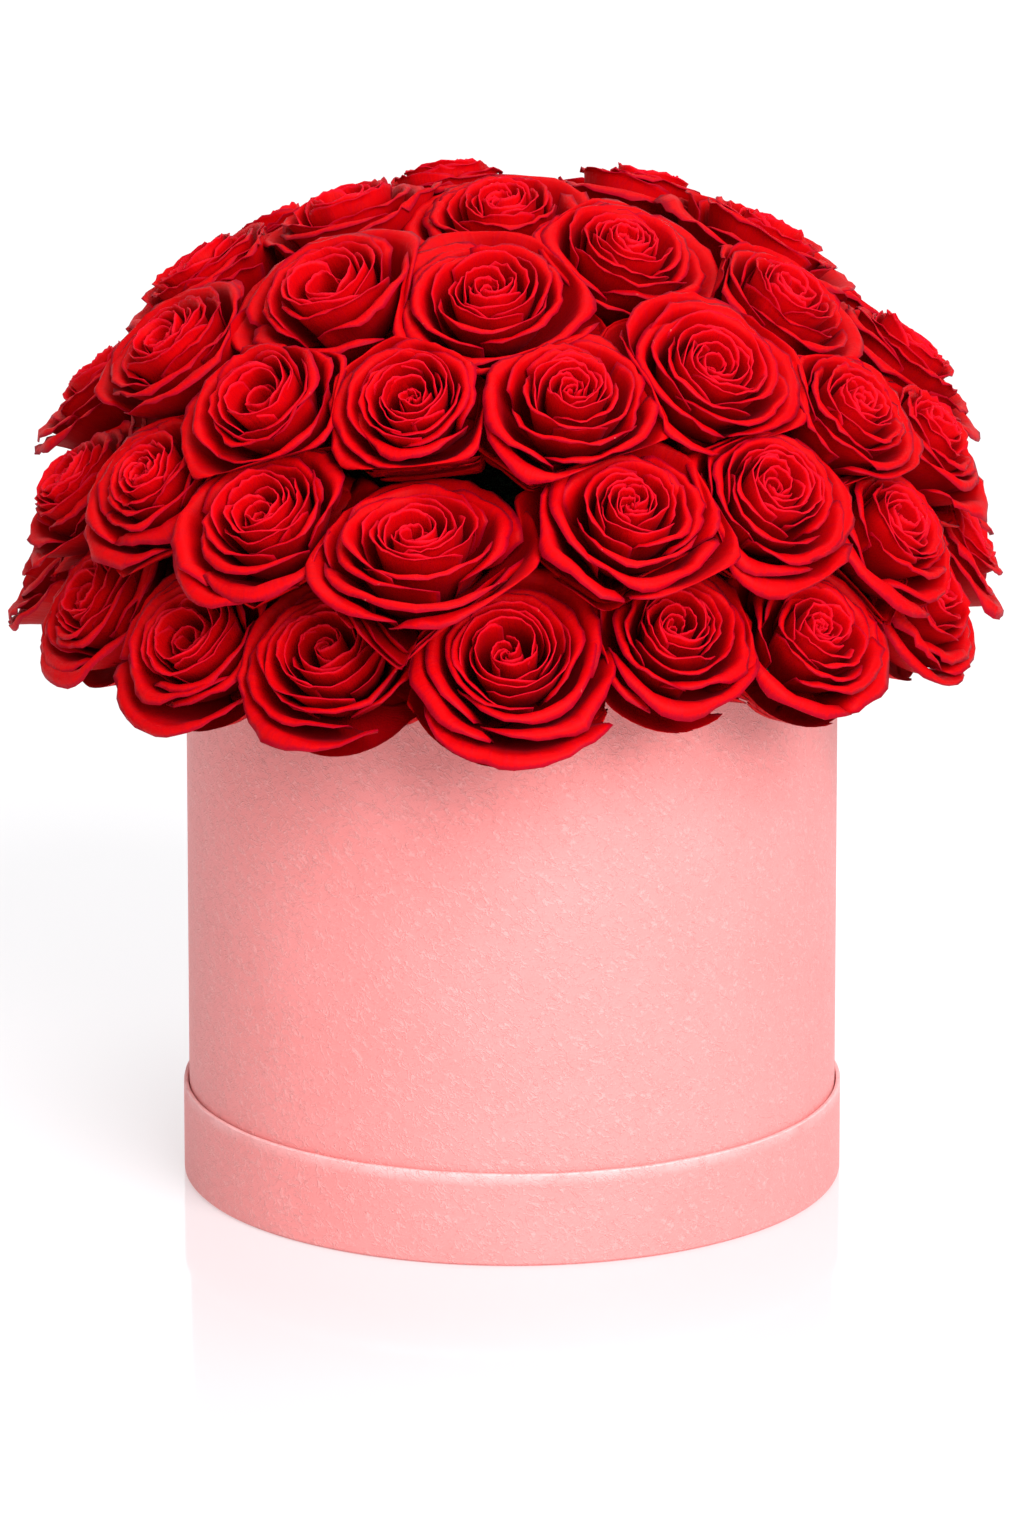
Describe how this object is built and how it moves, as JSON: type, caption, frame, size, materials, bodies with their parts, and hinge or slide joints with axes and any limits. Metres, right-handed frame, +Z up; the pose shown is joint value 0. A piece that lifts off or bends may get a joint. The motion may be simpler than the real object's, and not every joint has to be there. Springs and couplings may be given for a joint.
{
  "type": "flower box",
  "caption": "Round hat box covered in pink leatherette paper, standing in its own lid, with wet foam inside that holds a wide dome of cut red roses.",
  "frame": {"origin": "middle of the underside of the lid that the box stands in, on the table", "axes": "+Z straight up through the middle of the box, -Y towards the front"},
  "size_m": [0.3752, 0.3763, 0.3888],
  "materials": {
    "leatherette": "satin, fine creased grain",
    "grey_card": "raw",
    "riser_foam": "beaded",
    "liner_film": "thin film",
    "wet_foam": "open cell, wet",
    "stem_green": "waxy stem and sepals",
    "rose": "velvety petals"
  },
  "bodies": {
    "tray": {"tray_face_paper": "leatherette", "tray_floor": "grey_card", "tray_wall": "grey_card", "tray_rim_paper": "leatherette"},
    "box": {"box_floor": "grey_card", "box_tube": "grey_card", "box_cover_paper": "leatherette", "riser_block": "riser_foam"},
    "arrangement": {"foam_liner": "liner_film", "foam_block": "wet_foam", "rose_rim_01": "rose", "rose_rim_02": "rose", "rose_rim_03": "rose", "rose_rim_04": "rose", "rose_rim_05": "rose", "rose_rim_06": "rose", "rose_rim_07": "rose", "rose_rim_08": "rose", "rose_rim_09": "rose", "rose_rim_10": "rose", "rose_rim_11": "rose", "rose_rim_12": "rose", "rose_rim_13": "rose", "rose_rim_14": "rose", "rose_lower_01": "rose", "rose_lower_02": "rose", "rose_lower_03": "rose", "rose_lower_04": "rose", "rose_lower_05": "rose", "rose_lower_06": "rose", "rose_lower_07": "rose", "rose_lower_08": "rose", "rose_lower_09": "rose", "rose_lower_10": "rose", "rose_lower_11": "rose", "rose_lower_12": "rose", "rose_lower_13": "rose", "rose_lower_14": "rose", "rose_lower_15": "rose", "rose_upper_01": "rose", "rose_upper_02": "rose", "rose_upper_03": "rose", "rose_upper_04": "rose", "rose_upper_05": "rose", "rose_upper_06": "rose", "rose_upper_07": "rose", "rose_upper_08": "rose", "rose_upper_09": "rose", "rose_upper_10": "rose", "rose_upper_11": "rose", "rose_upper_12": "rose", "rose_inner_01": "rose", "rose_inner_02": "rose", "rose_inner_03": "rose", "rose_inner_04": "rose", "rose_inner_05": "rose", "rose_inner_06": "rose", "rose_inner_07": "rose", "rose_inner_08": "rose", "rose_crown": "rose"}
  },
  "joints": [
    {"name": "box_lift", "type": "slide", "parent": "tray", "child": "box", "axis": [0, 0, 1], "range_m": [0, 0.06]},
    {"name": "insert_lift", "type": "slide", "parent": "box", "child": "arrangement", "axis": [0, 0, 1], "range_m": [0, 0.09]}
  ]
}
